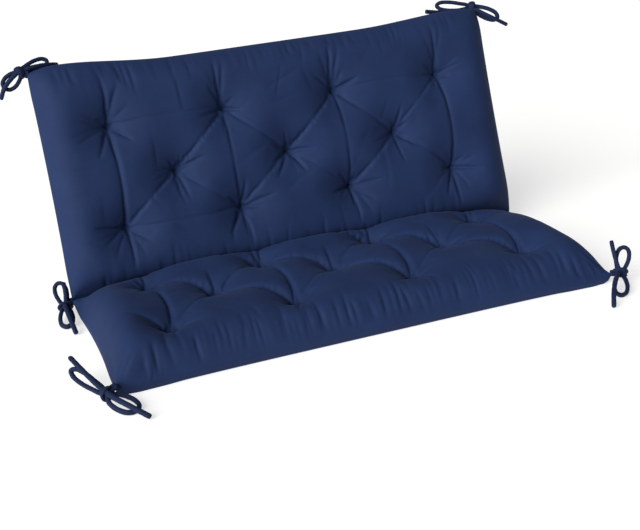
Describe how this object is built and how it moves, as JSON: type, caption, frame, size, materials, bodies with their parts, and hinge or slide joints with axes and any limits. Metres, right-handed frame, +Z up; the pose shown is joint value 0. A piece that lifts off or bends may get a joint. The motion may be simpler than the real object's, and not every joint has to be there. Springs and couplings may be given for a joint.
{
  "type": "tufted bench cushion",
  "caption": "Padded seat and back cushion for a garden bench, sewn as one cover with a fold between the panels, pulled-in tufts and cloth ties knotted in bows at the corners.",
  "frame": {"origin": "on the surface the seat lies on, under the middle of the cushion's own box", "axes": "+X across the bench to the sitter's left, +Z up, -Y toward the front edge of the seat, the back leaning toward +Y"},
  "size_m": [1.3606, 0.8595, 0.5808],
  "materials": {
    "cover_cloth": "plain woven polyester with a soft sheen",
    "tie_cloth": "the cover's cloth, sewn to narrow tubes"
  },
  "bodies": {
    "root": {"cushion": "cover_cloth", "tie_top_left": "tie_cloth", "tie_top_right": "tie_cloth", "tie_fold_left": "tie_cloth", "tie_front_left": "tie_cloth", "tie_front_right": "tie_cloth"}
  },
  "joints": []
}
